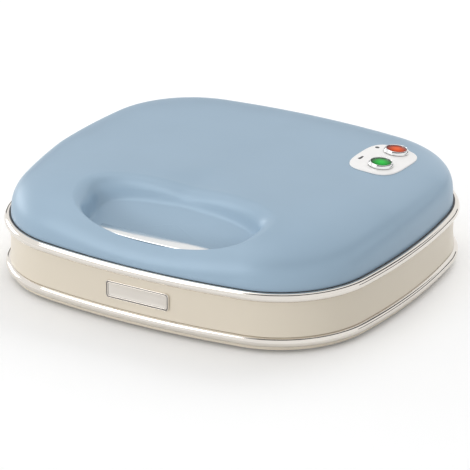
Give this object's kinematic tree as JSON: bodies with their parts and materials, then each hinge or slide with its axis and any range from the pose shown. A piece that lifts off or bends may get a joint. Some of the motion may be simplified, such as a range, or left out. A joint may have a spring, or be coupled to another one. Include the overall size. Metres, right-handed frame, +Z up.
{
  "type": "sandwich toaster",
  "caption": "Countertop sandwich toaster: low tub, domed hinged lid with a finger well and latch bar, cast plates with triangular pockets.",
  "frame": {"origin": "on the worktop, under the middle of the body", "axes": "+X right, +Y back, +Z up; the name plate and latch face -Y"},
  "size_m": [0.25, 0.2358, 0.0709],
  "materials": {
    "cream": "glossy cream",
    "blue": "satin light blue",
    "chrome": "polished",
    "steel": "plain sheet and rod",
    "coated_plate": "dark non-stick coating",
    "dark_frame": "fine grain",
    "sheath": "heat-darkened",
    "reflector": "bright sheet",
    "rubber": "matt",
    "panel": "satin pale grey",
    "green_lens": "clear moulded",
    "orange_lens": "clear moulded",
    "white_block": "moulded",
    "brown_block": "moulded resin",
    "black_block": "moulded"
  },
  "bodies": {
    "base": {"base_shell": "cream", "lower_band": "chrome", "upper_band": "chrome", "name_plate": "chrome", "base_frame": "dark_frame", "lower_plate": "coated_plate", "lower_element": "sheath", "lower_reflector": "reflector", "thermostat": "brown_block", "thermal_fuse": "steel", "terminal_block": "white_block", "cord_gland": "black_block", "rubber_feet": "rubber", "base_screws": "steel", "lower_plate_screws": "steel", "latch_striker": "steel", "striker_screws": "steel", "hinge_brackets": "cream", "hinge_pins": "steel", "hinge_screws": "steel"},
    "lid": {"lid_shell": "blue", "lid_frame": "dark_frame", "upper_plate": "coated_plate", "upper_element": "sheath", "upper_reflector": "reflector", "upper_thermostat": "brown_block", "indicator_panel": "panel", "lamp_bezels": "chrome", "ready_lens": "green_lens", "power_lens": "orange_lens", "lamp_holders": "black_block", "lid_screws": "steel", "upper_plate_screws": "steel", "hinge_arms": "steel", "arm_screws": "steel", "latch_springs": "steel"},
    "latch": {"latch_bar": "chrome", "latch_slide": "steel"}
  },
  "joints": [
    {"name": "lid_hinge", "type": "hinge", "parent": "base", "child": "lid", "pos_m": [0, 0.1183, 0.0405], "axis": [-1, 0, 0], "range_deg": [0, 100]},
    {"name": "latch_slide", "type": "slide", "parent": "lid", "child": "latch", "axis": [0, -1, 0], "range_m": [0, 0.004], "stiffness_N_per_m": 500, "springref_m": -0.004, "deforming": ["latch_springs"]}
  ]
}
